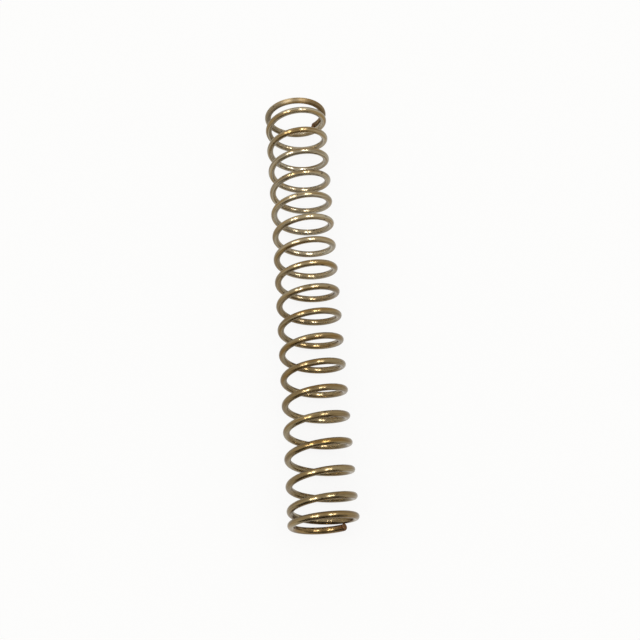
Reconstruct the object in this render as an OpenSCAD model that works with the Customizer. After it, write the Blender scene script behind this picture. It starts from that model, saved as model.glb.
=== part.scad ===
// Compression spring wound from round wire, with closed ends that are cut square and left unground.
// It lies on the floor with its axis along Y, and its near end points to -Y.
// The origin is on the floor, under the middle of the spring.

/* [Wire] */
// Diameter of the spring wire
wire_d = 1.2; // [0.8:0.05:1.6]

/* [Coil] */
// Mean diameter of the coil, measured at the middle of the wire
coil_d = 10.8; // [8:0.1:16]
// How much larger the mean diameter is at each tip
end_flare = 0.34; // [0:0.02:1]
// Turns over which the coil narrows from each tip to its mean diameter
flare_turns = 6; // [2:0.25:8]
// Rise of the wire in one open turn
pitch = 4.8; // [3:0.1:6]
// Turns of wire from tip to tip
turns = 19; // [8:0.25:24]
// Clock angle of the near tip, from the top of the coil towards +X
tip_angle = 138; // [0:1:359]

/* [Closed ends] */
// Turns over which the near end opens from its tip to the full pitch, fast at first
near_ramp = 3.5; // [2.5:0.1:4]
// Turns over which the far end opens from its tip to the full pitch, slowly at first
far_ramp = 1.95; // [1.5:0.05:3]
// Clear gap between each tip and the turn that it lies against
tip_gap = 0.03; // [0.02:0.01:0.2]

/* [Hidden] */
wire_r = wire_d / 2;
coil_r = coil_d / 2;
flare_r = end_flare / 2;
flare_run = min(flare_turns, turns / 2);
wire_colour = [0.62, 0.51, 0.33];

// The centreline is a chain of circular arcs, in pairs that meet without a kink
pairs_per_turn = 4;
pairs = ceil(turns * pairs_per_turn);
// Each arc stops this far short of the next, inside a ball a hair larger than the wire,
// so that the arcs join firmly and no two of their faces coincide
joint_gap = 0.01;
joint_swell = 0.001;
// Facets of the wire's round section, and of a whole turn
section_fn = 32;
turn_fn = 48;

// Share from 0 at the tip to 1 where a ramp ends: a smooth step, or a fast start that settles
function ease(u, fast = false) = u >= 1 ? 1 : fast ? 1 - pow(1 - u, 3) : u * u * (3 - 2 * u);

// Sum of the share from the tip on, and the slope of the smooth step
function ease_sum(u, fast) = fast
    ? (u < 1 ? u - (1 - pow(1 - u, 4)) / 4 : u - 1 / 4)
    : (u < 1 ? pow(u, 3) - pow(u, 4) / 2 : u - 1 / 2);
function ease_slope(u) = u < 1 ? 6 * u * (1 - u) : 0;

// Rise per turn right at the tip, such that the first turn rises by one wire and the gap
function tip_rise(ramp, fast) = let (opened = ramp * ease_sum(1 / ramp, fast))
    (wire_d + tip_gap - pitch * opened) / (1 - opened);

// Height of the centreline above the tip, and its rise per turn, t turns along the wire
function climb(t, ramp, fast) = let (r = tip_rise(ramp, fast))
    r * t + (pitch - r) * ramp * ease_sum(t / ramp, fast);
function rise(t, ramp, fast) = let (r = tip_rise(ramp, fast))
    r + (pitch - r) * ease(t / ramp, fast);

// The near tip leans in to the next turn, so its ring lies furthest out some way round from the tip
near_out_turn = near_ramp * (1 - pow(pitch / (pitch - min(tip_rise(near_ramp, true), 0)), 1 / 3));
near_climb = climb(turns / 2, near_ramp, true);
far_climb = climb(turns / 2, far_ramp, false);
middle_y = (near_climb - climb(near_out_turn, near_ramp, true) - far_climb) / 2;

// Place and rise on the whole spring, t turns from the near tip
function along_y(t) = t < turns / 2
    ? climb(t, near_ramp, true) - near_climb + middle_y
    : far_climb - climb(turns - t, far_ramp, false) + middle_y;
function along_rise(t) = t < turns / 2
    ? rise(t, near_ramp, true)
    : rise(turns - t, far_ramp, false);

// Radius of the centreline t turns from the near tip, and how much it grows per turn
function from_tip(t) = min(t, turns - t) / flare_run;
function reach_out(t) = coil_r + flare_r * (1 - ease(from_tip(t)));
function growth(t) = (t < turns / 2 ? -1 : 1) * flare_r * ease_slope(from_tip(t)) / flare_run;

function clock(t) = tip_angle + 360 * t;
function centre(t) = [reach_out(t) * sin(clock(t)), along_y(t), reach_out(t) * cos(clock(t))];
function heading(t) = let (
        g = growth(t),
        w = 2 * PI * reach_out(t),
        a = clock(t),
        v = [g * sin(a) + w * cos(a), along_rise(t), g * cos(a) - w * sin(a)]
    )
    v / norm(v);

// Distance from each end of a pair of arcs to the corner of its tangents, equal at both ends
function corner_reach(span, h0, h1) = let (k = 1 - h0 * h1, s = span * (h0 + h1))
    (sqrt(s * s + 2 * k * span * span) - s) / (2 * k);

// Round wire along one arc, from point p with heading h to point q, with the ball of the joint at p
module wire_arc(p, h, q, first = false, last = false) {
    chord = q - p;
    ahead = chord * h;
    aside = chord - ahead * h;
    side = aside / norm(aside);
    radius = chord * chord / (2 * norm(aside));
    hub = p + radius * side;
    spin = cross(-side, h);
    sweep = 2 * atan2(norm(aside), ahead);
    stop = joint_gap * 180 / (PI * radius);
    multmatrix([
        [-side.x, h.x, spin.x, hub.x],
        [-side.y, h.y, spin.y, hub.y],
        [-side.z, h.z, spin.z, hub.z],
        [0, 0, 0, 1]
    ]) {
        rotate_extrude(
            start = first ? 0 : stop,
            angle = sweep - (first ? 0 : stop) - (last ? 0 : stop),
            $fn = turn_fn
        )
            translate([radius, 0])
                circle(r = wire_r, $fn = section_fn);
        if (!first)
            translate([radius, 0, 0])
                rotate([90, 0, 0])
                    sphere(r = wire_r + joint_swell, $fn = section_fn);
    }
}

// Two arcs that carry the wire from one point of the coil to the next
module wire_pair(i) {
    t0 = turns * i / pairs;
    t1 = turns * (i + 1) / pairs;
    p0 = centre(t0);
    p1 = centre(t1);
    h0 = heading(t0);
    h1 = heading(t1);
    reach = corner_reach(p1 - p0, h0, h1);
    c0 = p0 + reach * h0;
    c1 = p1 - reach * h1;
    joint = (c0 + c1) / 2;
    wire_arc(p0, h0, joint, first = i == 0);
    wire_arc(joint, (c1 - c0) / (2 * reach), p1, last = i == pairs - 1);
}

module coil_spring() {
    color(wire_colour)
        translate([0, 0, coil_r + flare_r + wire_r])
            for (i = [0 : pairs - 1])
                wire_pair(i);
}

coil_spring();
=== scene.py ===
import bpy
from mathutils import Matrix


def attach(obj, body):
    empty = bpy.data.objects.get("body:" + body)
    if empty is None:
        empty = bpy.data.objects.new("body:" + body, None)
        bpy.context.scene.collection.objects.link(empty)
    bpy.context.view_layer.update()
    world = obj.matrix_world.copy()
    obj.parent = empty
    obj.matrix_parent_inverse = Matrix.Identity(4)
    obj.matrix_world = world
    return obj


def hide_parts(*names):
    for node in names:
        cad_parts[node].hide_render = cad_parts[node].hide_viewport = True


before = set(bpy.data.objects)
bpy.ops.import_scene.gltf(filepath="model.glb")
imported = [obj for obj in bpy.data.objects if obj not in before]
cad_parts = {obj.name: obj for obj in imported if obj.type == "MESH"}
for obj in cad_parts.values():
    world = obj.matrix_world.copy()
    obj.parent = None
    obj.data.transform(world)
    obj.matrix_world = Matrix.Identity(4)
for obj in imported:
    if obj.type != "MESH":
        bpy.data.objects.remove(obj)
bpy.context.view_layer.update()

import math

import bpy
import numpy as np
from mathutils import Euler, Vector

scene = bpy.context.scene
scene.view_settings.view_transform = "Standard"
MM = 0.001

# Spring wire. One length of bright drawn stainless spring wire, 1.2 mm thick, coiled cold over an arbor
# into 19 right-hand turns, closed at both ends, and stress-relieved in an oven, which tints it from straw
# to brown. Both ends are cropped square with a cutter and left unground.

WIRE_D = 1.2
COIL_D = 10.8
PITCH = 4.8
TURNS = 19
TIP_ANGLE = 138
NEAR_RAMP = 3.5
FAR_RAMP = 1.95
TIP_GAP = 0.03
END_FLARE = 0.34
FLARE_TURNS = 6

WIRE_R = WIRE_D / 2
WIRE_SIDES = 36
RINGS_A_TURN = 140
# A hair thinner than the wire, so that it stays inside the box of the CAD's coarser mesh
SLIMMED = 0.988

# Where each burr stands round the wire, in radians, how far it stands out, and how deep the end faces dip
NEAR_BURR_AT, NEAR_BURR_LIFT = 4.22, 0.16
FAR_BURR_AT, FAR_BURR_LIFT = 2.06, 0.42
HOLLOW = 0.03


def climb(t, ramp, fast):
    """Height of the wire's middle over its tip, in mm, and its rise per turn, t turns along the wire.
    The rise per turn grows from its value at the tip to the full pitch over ramp turns, with u = t / ramp as
    1 - (1 - u)^3 where it starts fast and 3u^2 - 2u^3 where it doesn't, and the height is its sum. The rise
    at the tip is such that the first turn climbs by one wire and the gap."""
    def share(u):
        return 1 - (1 - np.minimum(u, 1))**3 if fast else np.where(u < 1, u * u * (3 - 2 * u), 1)

    def share_sum(u):
        if fast:
            return np.where(u < 1, u - (1 - (1 - u)**4) / 4, u - 0.25)
        return np.where(u < 1, u**3 - u**4 / 2, u - 0.5)
    opened = ramp * share_sum(1 / ramp)
    at_tip = (WIRE_D + TIP_GAP - PITCH * opened) / (1 - opened)
    height = at_tip * t + (PITCH - at_tip) * ramp * share_sum(t / ramp)
    return height, at_tip + (PITCH - at_tip) * share(t / ramp)


def wire_line(t):
    """The wire's middle, its heading, its outward and its sideways direction, t turns from the near tip.
    The middle goes round the coil's axis at the clock angle 138 degrees + one turn per t, and along Y by the
    climb from the nearer end, at half the coil's diameter, which grows by a smooth step towards each tip.
    Outward points away from the axis, and sideways is heading x outward."""
    half = np.array(TURNS / 2)
    half_near, half_far = climb(half, NEAR_RAMP, True)[0], climb(half, FAR_RAMP, False)[0]
    near_y, near_rise = climb(t, NEAR_RAMP, True)
    far_y, far_rise = climb(TURNS - t, FAR_RAMP, False)
    lowest = climb(np.linspace(0, 1, 401), NEAR_RAMP, True)[0].min()
    is_near = t < half
    y = np.where(is_near, near_y - half_near, half_far - far_y) + (half_near - lowest - half_far) / 2
    rise = np.where(is_near, near_rise, far_rise)
    u = np.minimum(np.minimum(t, TURNS - t) / FLARE_TURNS, 1)
    radius = COIL_D / 2 + END_FLARE / 2 * (1 - u * u * (3 - 2 * u))
    growth = END_FLARE / 2 * 6 * u * (1 - u) / FLARE_TURNS * np.where(is_near, -1, 1)
    clock = np.radians(TIP_ANGLE + 360 * t)
    outward = np.stack([np.sin(clock), 0 * clock, np.cos(clock)], -1)
    onward = np.stack([np.cos(clock), 0 * clock, -np.sin(clock)], -1)
    middle = outward * radius[..., None]
    middle[..., 1] = y
    middle[..., 2] += (COIL_D + END_FLARE + WIRE_D) / 2
    heading = onward * (2 * math.pi * radius)[..., None] + outward * growth[..., None]
    heading[..., 1] = rise
    heading /= np.linalg.norm(heading, axis=-1, keepdims=True)
    sideways = np.cross(heading, outward)
    sideways /= np.linalg.norm(sideways, axis=-1, keepdims=True)
    return middle, heading, np.cross(sideways, heading), sideways


def wave(*terms):
    """A smooth uneven number between about -1 and 1 for each point: a sum of sines of the given phases."""
    return sum(np.sin(k * p + s) for p, k, s in terms) / len(terms)


def spring_wire_mesh(name):
    """A tube round the wire's line: rings of WIRE_SIDES points at a radius of half the wire, closed at each
    end by five smaller rings and a middle point. Over the last third of a millimetre the cutter has drawn
    the edge in, more on one side, and the end face dips, tears and rises to a burr on the other side."""
    turn_mm = math.hypot(math.pi * COIL_D, PITCH)
    length = TURNS * turn_mm
    # The rings stand evenly along the wire, and closer together at the tips
    even = np.linspace(0, 1, TURNS * RINGS_A_TURN + 1)
    at_tip = np.array([0, 0.02, 0.05, 0.09, 0.14, 0.21, 0.3]) / length
    clear = 0.35 / length
    rows = np.unique(np.concatenate([at_tip, 1 - at_tip, even[(even > clear) & (even < 1 - clear)]]))
    to_tip = np.minimum(rows, 1 - rows) * length
    phi = np.linspace(0, 2 * math.pi, WIRE_SIDES, endpoint=False)
    middle, heading, outward, sideways = wire_line(rows * TURNS)

    # A cut turns in the edge by a tenth of a millimetre where the blade came in, and leaves a burr where it
    # went out, on the side of the next turn
    out_at = np.where(rows[:, None] < 0.5, NEAR_BURR_AT, FAR_BURR_AT)
    bite = 0.5 - 0.5 * np.cos(phi - out_at)
    burr = np.maximum(np.cos(phi - out_at), 0) ** 3
    drawn_in = np.exp(-((to_tip[:, None] / 0.11) ** 1.3)) * (0.02 + 0.09 * bite * bite)
    swollen = np.exp(-((to_tip[:, None] / 0.16) ** 2)) * 0.19 * burr
    radius = WIRE_R * SLIMMED - drawn_in + swollen
    ring = (middle[:, None]
            + outward[:, None] * (radius * np.cos(phi))[..., None]
            + sideways[:, None] * (radius * np.sin(phi))[..., None])

    # The end faces, from the rim to the middle: a shallow torn hollow, with a burr left at the rim
    shares = np.array([0.93, 0.8, 0.6, 0.36, 0.15])
    share = shares[:, None]
    faces, face_phi = [], np.broadcast_to(phi, (len(shares), WIRE_SIDES))
    for end, out, burr_lift in ((0, -1, NEAR_BURR_LIFT), (-1, 1, FAR_BURR_LIFT)):
        away = radius[end] * share
        torn = 0.02 * wave((face_phi, 3, 1.0), (face_phi, 5, 2.2 + end), (share * 9, 1, 0.4))
        rim = np.exp(-((1 - share) / 0.12) ** 2)
        lift = burr_lift * rim * burr[end] - HOLLOW * (1 - share) + torn * share
        face = (middle[end] + outward[end] * (away * np.cos(phi))[..., None]
                + sideways[end] * (away * np.sin(phi))[..., None] + heading[end] * (out * lift)[..., None])
        centre = middle[end] - heading[end] * out * HOLLOW
        faces.append(np.concatenate([face.reshape(-1, 3), centre[None]]))

    n_rows, n = len(rows), WIRE_SIDES
    verts = np.concatenate([ring.reshape(-1, 3), faces[0], faces[1]]) * MM
    ids = np.arange(n_rows * n).reshape(n_rows, n)

    def strip(upper, lower):
        """Quads between two neighbouring rings of point numbers, wound the same way all round."""
        return np.stack([upper, lower, np.roll(lower, -1, -1), np.roll(upper, -1, -1)], -1).reshape(-1, 4)
    quads, fans = [strip(ids[1:], ids[:-1])], []
    for end, start, flip in ((0, n_rows * n, False), (-1, n_rows * n + len(faces[0]), True)):
        rims = np.concatenate([ids[end][None], start + np.arange(len(shares) * n).reshape(-1, n)])
        hub = start + len(shares) * n
        cap = strip(rims[:-1], rims[1:])
        fan = np.stack([rims[-1], np.full(n, hub), np.roll(rims[-1], -1)], -1)
        quads.append(cap[:, ::-1] if flip else cap)
        fans.append(fan[:, ::-1] if flip else fan)
    mesh = bpy.data.meshes.new(name)
    mesh.from_pydata(verts.tolist(), [], np.concatenate(quads).tolist() + np.concatenate(fans).tolist())
    mesh.polygons.foreach_set("use_smooth", np.ones(len(mesh.polygons), bool))

    # The UV map runs along the wire in U and round it in V, in mm, and lies flat over the end faces
    along = np.repeat(rows * length, n)

    def across(way):
        """How far each point of an end face lies one way across it, from the rim to the middle, in mm."""
        return WIRE_R * np.append(np.repeat(shares, n) * np.tile(way, len(shares)), 0)
    u = np.concatenate([along] + [across(np.cos(phi))] * 2)
    v = np.concatenate([np.tile(phi * WIRE_R, n_rows)] + [across(np.sin(phi))] * 2)
    corner = np.empty(len(mesh.loops), np.int32)
    mesh.loops.foreach_get("vertex_index", corner)
    uv = np.stack([u[corner], v[corner]], -1)
    wall = uv[:4 * (n_rows - 1) * n].reshape(n_rows - 1, n, 4, 2)
    wall[:, -1, 2:, 1] = 2 * math.pi * WIRE_R
    mesh.uv_layers.new(name="wire_unrolled").uv.foreach_set("vector", uv.astype(np.float32).ravel())

    # The wire laid out straight, in mm: its length from the near tip, and the point round its section
    section = [np.tile(WIRE_R * np.cos(phi), n_rows), np.tile(WIRE_R * np.sin(phi), n_rows)]
    straight = np.stack([along, *section], -1)
    tips = [np.full((len(f), 3), [s, 0.0, 0.0]) for f, s in zip(faces, (0.0, length))]
    mesh.attributes.new("straight_wire", "FLOAT_VECTOR", "POINT").data.foreach_set(
        "vector", np.concatenate([straight, *tips]).astype(np.float32).ravel())
    distance = np.concatenate([np.repeat(to_tip, n)] + [np.zeros(len(f)) for f in faces])
    mesh.attributes.new("to_tip", "FLOAT", "POINT").data.foreach_set("value", distance.astype(np.float32))
    return mesh


def hex_colour(code):
    """An sRGB hex colour as linear red, green, blue and full alpha."""
    srgb = [int(code[i:i + 2], 16) / 255 for i in (0, 2, 4)]
    return [c / 12.92 if c <= 0.04045 else ((c + 0.055) / 1.055) ** 2.4 for c in srgb] + [1.0]


def add_node(tree, kind, settings=None, **inputs):
    """Adds a node to a tree, with its settings, and with values or links for its inputs. A name that starts
    with i and a number is the input of that number."""
    node = tree.nodes.new(kind)
    for key, value in (settings or {}).items():
        setattr(node, key, value)
    for key, value in inputs.items():
        numbered = key[0] == "i" and key[1:].isdigit()
        socket = node.inputs[int(key[1:]) if numbered else key.replace("_", " ")]
        if isinstance(value, bpy.types.NodeSocket):
            tree.links.new(value, socket)
        else:
            socket.default_value = value
    return node


def tinted_steel():
    """Bright drawn stainless spring wire with the heat tint of its stress relief. The thin oxide gives the
    bare metal a straw to brown cast, deepest at the ends, with grey steel showing through in drawn-out
    patches, fine lengthwise draw marks, and a few dark specks."""
    material = bpy.data.materials.new("heat_tinted_spring_steel")
    material.use_nodes = True
    tree = material.node_tree
    tree.nodes.clear()
    wire = add_node(tree, "ShaderNodeAttribute", {"attribute_name": "straight_wire"}).outputs["Vector"]
    to_tip = add_node(tree, "ShaderNodeAttribute", {"attribute_name": "to_tip"}).outputs["Fac"]

    # Tint patches are some 12 mm long and half a millimetre wide, golden or grey
    patch_at = add_node(tree, "ShaderNodeMapping", Vector=wire, Scale=(1 / 12, 1.8, 1.8))
    patches = add_node(tree, "ShaderNodeTexNoise", Vector=patch_at.outputs[0],
                       Scale=1.0, Detail=3.0, Roughness=0.6)
    patch_share = add_node(tree, "ShaderNodeMapRange", i0=patches.outputs[0],
                           i1=0.36, i2=0.62, i3=0.0, i4=1.0)
    outer = add_node(tree, "ShaderNodeMix", {"data_type": "RGBA"}, i0=patch_share.outputs[0],
                     i6=hex_colour("afa793"), i7=hex_colour("957c50"))
    inner = add_node(tree, "ShaderNodeMix", {"data_type": "RGBA"}, i0=patch_share.outputs[0],
                     i6=hex_colour("beb8a8"), i7=hex_colour("a28f6d"))

    # Painted light: the side that faces the coil's axis is painted paler and greyer than the side that faces
    # out, to brighten the inside of each turn
    from_near, outward, _ = add_node(tree, "ShaderNodeSeparateXYZ", Vector=wire).outputs
    painted_light_share = add_node(tree, "ShaderNodeMapRange", {"interpolation_type": "SMOOTHSTEP"},
                           i0=outward, i1=-0.35, i2=0.35, i3=1.0, i4=0.0)
    tint_and_painted_light = add_node(tree, "ShaderNodeMix", {"data_type": "RGBA"}, i0=painted_light_share.outputs[0],
                    i6=outer.outputs[2], i7=inner.outputs[2])

    # Painted shade: the near turns are darker and more golden, which fades from 240 to 500 mm along the
    # wire's 650 mm
    near_shade_share = add_node(tree, "ShaderNodeMapRange", {"interpolation_type": "SMOOTHSTEP"},
                          i0=from_near, i1=240.0, i2=500.0, i3=1.0, i4=0.0)
    with_near_shade = add_node(tree, "ShaderNodeMix", {"data_type": "RGBA", "blend_type": "MULTIPLY"},
                      i0=near_shade_share.outputs[0], i6=tint_and_painted_light.outputs[2], i7=hex_colour("dacfb7"))

    # It is deeper again over the first half turn from each tip
    end_share = add_node(tree, "ShaderNodeMapRange", {"interpolation_type": "SMOOTHSTEP"},
                         i0=to_tip, i1=2.0, i2=22.0, i3=0.6, i4=0.0)
    with_ends = add_node(tree, "ShaderNodeMix", {"data_type": "RGBA"}, i0=end_share.outputs[0],
                         i6=with_near_shade.outputs[2], i7=hex_colour("967543"))

    # The last millimetre has the dark straw and brown of the hot cut
    tip_share = add_node(tree, "ShaderNodeMapRange", {"interpolation_type": "SMOOTHSTEP"},
                         i0=to_tip, i1=0.1, i2=2.2, i3=0.85, i4=0.0)
    with_tips = add_node(tree, "ShaderNodeMix", {"data_type": "RGBA"}, i0=tip_share.outputs[0],
                         i6=with_ends.outputs[2], i7=hex_colour("5c3419"))

    # Draw marks run for 10 mm or more. The real ones are some 0.05 mm wide, and they are drawn at up to
    # 0.25 mm, about as fine as shows
    mark_at = add_node(tree, "ShaderNodeMapping", Vector=wire, Scale=(1 / 10, 4.0, 4.0))
    marks = add_node(tree, "ShaderNodeTexNoise", Vector=mark_at.outputs[0],
                     Scale=1.0, Detail=3.0, Roughness=0.65)
    mark_share = add_node(tree, "ShaderNodeMapRange", i0=marks.outputs[0],
                          i1=0.42, i2=0.62, i3=0.0, i4=0.65)
    with_marks = add_node(tree, "ShaderNodeMix", {"data_type": "RGBA"}, i0=mark_share.outputs[0],
                          i6=with_tips.outputs[2], i7=hex_colour("5f4f38"))

    # Specks of oxide, 0.2 to 0.5 mm across and stretched a little along the wire
    speck_at = add_node(tree, "ShaderNodeMapping", Vector=wire, Scale=(1.1, 2.2, 2.2))
    specks = add_node(tree, "ShaderNodeTexNoise", Vector=speck_at.outputs[0],
                      Scale=1.0, Detail=2.0, Roughness=0.5)
    speck_share = add_node(tree, "ShaderNodeMapRange", i0=specks.outputs[0],
                           i1=0.67, i2=0.72, i3=0.0, i4=0.8)
    colour = add_node(tree, "ShaderNodeMix", {"data_type": "RGBA"}, i0=speck_share.outputs[0],
                      i6=with_marks.outputs[2], i7=hex_colour("2a1b10"))

    # The last turn at the far end is dull with thicker oxide
    rough = add_node(tree, "ShaderNodeMapRange", {"interpolation_type": "SMOOTHSTEP"},
                     i0=from_near, i1=612.0, i2=626.0, i3=0.26, i4=0.52)
    bump = add_node(tree, "ShaderNodeBump", Strength=0.06, Distance=0.003 * MM, Height=marks.outputs[0])
    # The draw marks scatter light across the wire much more than along it
    grain = add_node(tree, "ShaderNodeTangent", {"direction_type": "UV_MAP", "uv_map": "wire_unrolled"})
    metal = add_node(tree, "ShaderNodeBsdfPrincipled", Base_Color=colour.outputs[2], Metallic=1.0,
                     Roughness=rough.outputs[0], Anisotropic=0.85, Anisotropic_Rotation=0.25,
                     Normal=bump.outputs[0], Tangent=grain.outputs[0])
    add_node(tree, "ShaderNodeOutputMaterial", Surface=metal.outputs[0])
    return material


spring = bpy.data.objects.new("spring_wire", spring_wire_mesh("spring_wire"))
scene.collection.objects.link(spring)
spring.data.materials.append(tinted_steel())
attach(spring, "root")
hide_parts("coil_spring")

# Floor. A plain white sheet that the spring lies on. It keeps the spring's soft shadow.

FLOOR_HALF = 0.6
# How white the floor shows by itself, to the camera and mirrored in the metal
SEEN_WHITE, MIRRORED_WHITE = 0.86, 0.5

floor_mesh = bpy.data.meshes.new("floor")
corners = np.array([[-1, -1, 0], [1, -1, 0], [1, 1, 0], [-1, 1, 0]]) * [FLOOR_HALF, FLOOR_HALF, 0]
floor_mesh.from_pydata(corners.tolist(), [], [[0, 1, 2, 3]])
floor = bpy.data.objects.new("floor", floor_mesh)
scene.collection.objects.link(floor)

paper = bpy.data.materials.new("white_paper")
paper.use_nodes = True
tree = paper.node_tree
tree.nodes.clear()
sheet = add_node(tree, "ShaderNodeBsdfDiffuse", Color=hex_colour("f5f7f9"))
glow = add_node(tree, "ShaderNodeEmission", Color=hex_colour("ffffff"), Strength=1.0)
ray = add_node(tree, "ShaderNodeLightPath")
through = add_node(tree, "ShaderNodeMath", {"operation": "MAXIMUM"},
                   i0=ray.outputs["Is Glossy Ray"], i1=ray.outputs["Is Transmission Ray"])
mirrored = add_node(tree, "ShaderNodeMath", {"operation": "MULTIPLY"},
                    i0=through.outputs[0], i1=MIRRORED_WHITE)
seen = add_node(tree, "ShaderNodeMath", {"operation": "MULTIPLY"},
                i0=ray.outputs["Is Camera Ray"], i1=SEEN_WHITE)
share = add_node(tree, "ShaderNodeMath", {"operation": "MAXIMUM"}, i0=seen.outputs[0], i1=mirrored.outputs[0])
backdrop = add_node(tree, "ShaderNodeMixShader", i0=share.outputs[0], i1=sheet.outputs[0], i2=glow.outputs[0])
add_node(tree, "ShaderNodeOutputMaterial", Surface=backdrop.outputs[0])
floor.data.materials.append(paper)

# Light. A soft pale room that is dark low down past the near end, and two pairs of small lamps overhead,
# left and right, that leave the paired bright spots on each turn. The lamps show in the metal's gloss alone,
# so that they don't overexpose the floor.

world = bpy.data.worlds.new("soft_room")
world.use_nodes = True
scene.world = world
tree = world.node_tree
tree.nodes.clear()
way = add_node(tree, "ShaderNodeTexCoord").outputs["Generated"]
lean = add_node(tree, "ShaderNodeVectorMath", {"operation": "DOT_PRODUCT"}, i0=way, i1=(0, -1, -0.6))
dark_share = add_node(tree, "ShaderNodeMapRange", {"interpolation_type": "SMOOTHSTEP"},
                      i0=lean.outputs["Value"], i1=0.35, i2=0.85, i3=0.0, i4=1.0)
room = add_node(tree, "ShaderNodeMix", {"data_type": "RGBA"}, i0=dark_share.outputs[0],
                i6=hex_colour("fdf9f0"), i7=hex_colour("3c3028"))
# The camera itself sees a plain white room
ray = add_node(tree, "ShaderNodeLightPath")
seen_room = add_node(tree, "ShaderNodeMix", {"data_type": "RGBA"}, i0=ray.outputs["Is Camera Ray"],
                     i6=room.outputs[2], i7=hex_colour("ffffff"))
air = add_node(tree, "ShaderNodeBackground", Color=seen_room.outputs[2], Strength=1.0)
add_node(tree, "ShaderNodeOutputWorld", Surface=air.outputs[0])

LAMP_REACH = 1.8
LAMP_ACROSS = 0.25
for name, way_to, power in (
    ("lamp_left_inner", (-0.348, -0.121, 0.938), 14.0),
    ("lamp_left_outer", (-0.543, -0.108, 0.84), 8.4),
    ("lamp_right_inner", (0.395, -0.118, 0.918), 12.0),
    ("lamp_right_outer", (0.579, -0.105, 0.814), 6.2),
):
    lamp = bpy.data.lights.new(name, "AREA")
    lamp.shape = "DISK"
    lamp.size = LAMP_ACROSS
    lamp.energy = power
    holder = bpy.data.objects.new(name, lamp)
    holder.location = Vector(way_to).normalized() * LAMP_REACH
    holder.rotation_euler = Vector(way_to).to_track_quat("Z", "Y").to_euler()
    holder.visible_diffuse = False
    scene.collection.objects.link(holder)

# Dark card. A black card stands on the floor past the near end, out of the frame. No camera sees it, and it
# leaves no shadow on the floor. The low side of each turn mirrors it, the near turns most.

CARD_HALF, CARD_Y, CARD_TOP = 40, -66, 45

card_mesh = bpy.data.meshes.new("dark_card")
card_corners = np.array([[-CARD_HALF, CARD_Y, 0], [CARD_HALF, CARD_Y, 0],
                         [CARD_HALF, CARD_Y, CARD_TOP], [-CARD_HALF, CARD_Y, CARD_TOP]]) * MM
card_mesh.from_pydata(card_corners.tolist(), [], [[0, 1, 2, 3]])
card = bpy.data.objects.new("dark_card", card_mesh)
scene.collection.objects.link(card)
card.visible_camera = False
card.visible_diffuse = False
card.visible_shadow = False

black = bpy.data.materials.new("black_card")
black.use_nodes = True
tree = black.node_tree
tree.nodes.clear()
card_face = add_node(tree, "ShaderNodeBsdfDiffuse", Color=hex_colour("1c1612"))
add_node(tree, "ShaderNodeOutputMaterial", Surface=card_face.outputs[0])
card.data.materials.append(black)

# Camera. It looks down on the spring from above its near end. The frame was cropped from a picture whose
# middle lies 52 pixels above the frame's own, which gives the shift.

SENSOR_MM = 36
FRAME_PX, FOCAL_PX, MIDDLE_UP_PX = 640, 1010.19, 52.49

camera_data = bpy.data.cameras.new("camera")
camera_data.sensor_width = SENSOR_MM
camera_data.lens = SENSOR_MM * FOCAL_PX / FRAME_PX
camera_data.shift_y = -MIDDLE_UP_PX / FRAME_PX
camera_data.clip_start, camera_data.clip_end = 0.005, 10
camera = bpy.data.objects.new("camera", camera_data)
camera.location = Vector((-4.083, -73.979, 178.796)) * MM
camera.rotation_euler = Euler(np.radians([25.1304, -0.3905, -3.9433]), "XYZ")
scene.collection.objects.link(camera)
scene.camera = camera
